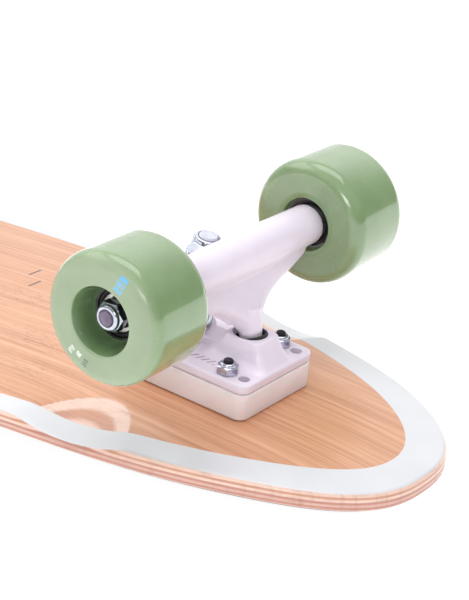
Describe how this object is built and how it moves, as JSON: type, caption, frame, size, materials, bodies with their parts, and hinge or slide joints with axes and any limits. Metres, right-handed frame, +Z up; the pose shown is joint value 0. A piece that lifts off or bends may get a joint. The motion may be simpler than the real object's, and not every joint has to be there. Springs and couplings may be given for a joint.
{
  "type": "skateboard",
  "caption": "Mini cruiser skateboard lying upside down: bamboo ply deck with a pale painted border, white kingpin trucks on riser pads and mint green wheels.",
  "frame": {"origin": "middle of the board's footprint, on the floor that the two turned-up ends rest on while the board lies upside down", "axes": "+X along the deck towards the nose, +Y across it to the left side, +Z up, from the standing surface towards the trucks"},
  "size_m": [0.7138, 0.198, 0.1172],
  "materials": {
    "bamboo_plywood": "satin varnish with a painted off-white border",
    "grip_tape": "coarse black grit",
    "riser_rubber": "smooth, slightly translucent",
    "white_paint": "cast, with a satin white powder coat",
    "mint_urethane": "gloss, slightly translucent",
    "bushing_urethane": "satin",
    "black_plastic": "matte",
    "steel": "turned",
    "chrome": "polished",
    "black_steel": "black oxide"
  },
  "bodies": {
    "board": {"deck": "bamboo_plywood", "grip_tape": "grip_tape", "nose_riser_pad": "riser_rubber", "nose_baseplate": "white_paint", "nose_pivot_cup": "black_plastic", "nose_kingpin": "steel", "nose_kingpin_nut": "chrome", "nose_road_washer": "chrome", "nose_board_washer": "chrome", "nose_road_bushing": "bushing_urethane", "nose_board_bushing": "bushing_urethane", "nose_mounting_bolt_1": "black_steel", "nose_mounting_bolt_2": "black_steel", "nose_mounting_bolt_3": "black_steel", "nose_mounting_bolt_4": "black_steel", "nose_mounting_nut_1": "chrome", "nose_mounting_nut_2": "chrome", "nose_mounting_nut_3": "chrome", "nose_mounting_nut_4": "chrome", "tail_riser_pad": "riser_rubber", "tail_baseplate": "white_paint", "tail_pivot_cup": "black_plastic", "tail_kingpin": "steel", "tail_kingpin_nut": "chrome", "tail_road_washer": "chrome", "tail_board_washer": "chrome", "tail_road_bushing": "bushing_urethane", "tail_board_bushing": "bushing_urethane", "tail_mounting_bolt_1": "black_steel", "tail_mounting_bolt_2": "black_steel", "tail_mounting_bolt_3": "black_steel", "tail_mounting_bolt_4": "black_steel", "tail_mounting_nut_1": "chrome", "tail_mounting_nut_2": "chrome", "tail_mounting_nut_3": "chrome", "tail_mounting_nut_4": "chrome"},
    "nose_hanger_body": {"nose_hanger": "white_paint", "nose_axle": "steel", "nose_left_bearing_sleeve": "steel", "nose_left_axle_nut": "chrome", "nose_right_bearing_sleeve": "steel", "nose_right_axle_nut": "chrome"},
    "nose_left_wheel_body": {"nose_left_wheel": "mint_urethane", "nose_left_outboard_bearing": "steel", "nose_left_inboard_bearing": "steel"},
    "nose_right_wheel_body": {"nose_right_wheel": "mint_urethane", "nose_right_outboard_bearing": "steel", "nose_right_inboard_bearing": "steel"},
    "tail_hanger_body": {"tail_hanger": "white_paint", "tail_axle": "steel", "tail_left_bearing_sleeve": "steel", "tail_left_axle_nut": "chrome", "tail_right_bearing_sleeve": "steel", "tail_right_axle_nut": "chrome"},
    "tail_left_wheel_body": {"tail_left_wheel": "mint_urethane", "tail_left_outboard_bearing": "steel", "tail_left_inboard_bearing": "steel"},
    "tail_right_wheel_body": {"tail_right_wheel": "mint_urethane", "tail_right_outboard_bearing": "steel", "tail_right_inboard_bearing": "steel"}
  },
  "joints": [
    {"name": "nose_steer", "type": "hinge", "parent": "board", "child": "nose_hanger_body", "pos_m": [0.22789, 0, 0.06892], "axis": [-0.7942, 0, 0.6076], "range_deg": [-10, 10], "stiffness_Nm_per_rad": 15},
    {"name": "tail_steer", "type": "hinge", "parent": "board", "child": "tail_hanger_body", "pos_m": [-0.22789, 0, 0.06892], "axis": [0.7942, 0, 0.6076], "range_deg": [-10, 10], "stiffness_Nm_per_rad": 15},
    {"name": "nose_left_wheel_spin", "type": "hinge", "parent": "nose_hanger_body", "child": "nose_left_wheel_body", "pos_m": [0.24929, 0.07695, 0.08632], "axis": [0, 1, 0], "continuous": true},
    {"name": "nose_right_wheel_spin", "type": "hinge", "parent": "nose_hanger_body", "child": "nose_right_wheel_body", "pos_m": [0.24929, -0.07695, 0.08632], "axis": [0, 1, 0], "continuous": true},
    {"name": "tail_left_wheel_spin", "type": "hinge", "parent": "tail_hanger_body", "child": "tail_left_wheel_body", "pos_m": [-0.24929, 0.07695, 0.08632], "axis": [0, 1, 0], "continuous": true},
    {"name": "tail_right_wheel_spin", "type": "hinge", "parent": "tail_hanger_body", "child": "tail_right_wheel_body", "pos_m": [-0.24929, -0.07695, 0.08632], "axis": [0, 1, 0], "continuous": true}
  ]
}
